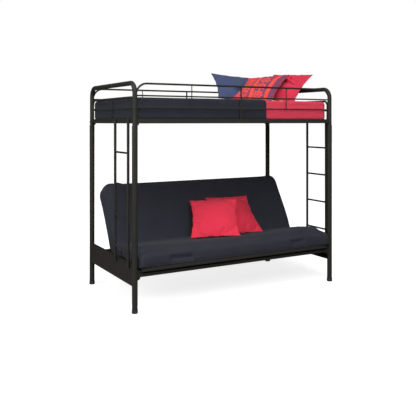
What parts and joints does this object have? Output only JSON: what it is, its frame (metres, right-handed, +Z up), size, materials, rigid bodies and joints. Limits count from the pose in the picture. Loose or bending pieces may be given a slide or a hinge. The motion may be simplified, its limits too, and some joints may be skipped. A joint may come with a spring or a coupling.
{
  "type": "futon bunk bed",
  "caption": "Metal bunk bed with end ladders and guard rails: a twin deck with mattress over a futon sofa that slides and folds out flat into a lower bed.",
  "frame": {"origin": "on the floor under the middle of the whole bed", "axes": "+X along the bed to the right as seen from the front, +Y from the seated front towards the back, +Z up"},
  "size_m": [2.0038, 1.0536, 1.9575],
  "materials": {
    "frame_coat": "satin gunmetal powder coat",
    "panel_coat": "satin brown-grey powder coat",
    "zinc_plate": "dull zinc plate",
    "black_plastic": "moulded, fine texture",
    "black_rubber": "matte",
    "navy_cover": "close-woven cover, dark blue-grey",
    "crimson_sheet": "plain-woven fitted sheet",
    "crimson_cloth": "plain-woven pillow cover",
    "blue_cloth": "plain-woven pillow cover, piped edge",
    "patterned_cloth": "printed stripes, orange-red on purple"
  },
  "bodies": {
    "bunk_frame": {"foot_cap_front_left": "black_plastic", "foot_cap_back_left": "black_plastic", "foot_cap_front_right": "black_plastic", "foot_cap_back_right": "black_plastic", "lower_post_front_left": "frame_coat", "lower_post_back_left": "frame_coat", "lower_post_front_right": "frame_coat", "lower_post_back_right": "frame_coat", "end_hoop_left": "frame_coat", "end_hoop_right": "frame_coat", "deck_end_rail_left": "frame_coat", "deck_end_rail_right": "frame_coat", "deck_side_rail_front": "frame_coat", "deck_side_rail_back": "frame_coat", "deck_slat_1": "frame_coat", "deck_slat_2": "frame_coat", "deck_slat_3": "frame_coat", "deck_slat_4": "frame_coat", "deck_slat_5": "frame_coat", "deck_slat_6": "frame_coat", "deck_slat_7": "frame_coat", "deck_slat_8": "frame_coat", "deck_slat_9": "frame_coat", "deck_slat_10": "frame_coat", "guard_rail_front": "frame_coat", "guard_rail_back": "frame_coat", "end_guard_left": "frame_coat", "end_guard_right": "frame_coat", "ladder_left": "frame_coat", "ladder_right": "frame_coat", "end_panel_left": "panel_coat", "end_panel_right": "panel_coat", "stretcher_front": "frame_coat", "stretcher_back": "frame_coat", "stretcher_bracket_front_left": "frame_coat", "stretcher_bracket_front_right": "frame_coat", "stretcher_bracket_back_left": "frame_coat", "stretcher_bracket_back_right": "frame_coat", "stretcher_stop_block": "black_plastic", "track_plate_left": "zinc_plate", "track_plate_right": "zinc_plate", "bed_ledge_left": "frame_coat", "bed_ledge_right": "frame_coat", "upper_mattress": "crimson_sheet", "pillow_patterned": "patterned_cloth", "pillow_blue": "blue_cloth", "pillow_crimson": "crimson_cloth"},
    "slider": {"pivot_rod": "zinc_plate", "track_roller_left": "black_plastic", "track_roller_right": "black_plastic"},
    "seat": {"seat_frame": "frame_coat", "seat_slats": "frame_coat", "seat_cushion": "navy_cover", "seat_bumper_left": "black_rubber", "seat_bumper_right": "black_rubber"},
    "back": {"back_frame": "frame_coat", "back_slats": "frame_coat", "back_cushion": "navy_cover", "pillow_red_front": "crimson_cloth", "pillow_red_rear": "crimson_cloth"}
  },
  "joints": [
    {"name": "seat_slide", "type": "slide", "parent": "bunk_frame", "child": "slider", "axis": [0, -0.9699, 0.2435], "range_m": [0, 0.32478]},
    {"name": "seat_tilt", "type": "hinge", "parent": "slider", "child": "seat", "pos_m": [0, 0.12829, 0.2469], "axis": [1, 0, 0], "range_deg": [0, 7.5]},
    {"name": "back_recline", "type": "hinge", "parent": "seat", "child": "back", "pos_m": [0, 0.12829, 0.2469], "axis": [-1, 0, 0], "range_deg": [0, 69]}
  ],
  "couplings": [
    {"joint": "seat_tilt", "follows": "seat_slide", "rad_per_m": 0.40303},
    {"joint": "back_recline", "follows": "seat_slide", "rad_per_m": 3.7079}
  ]
}
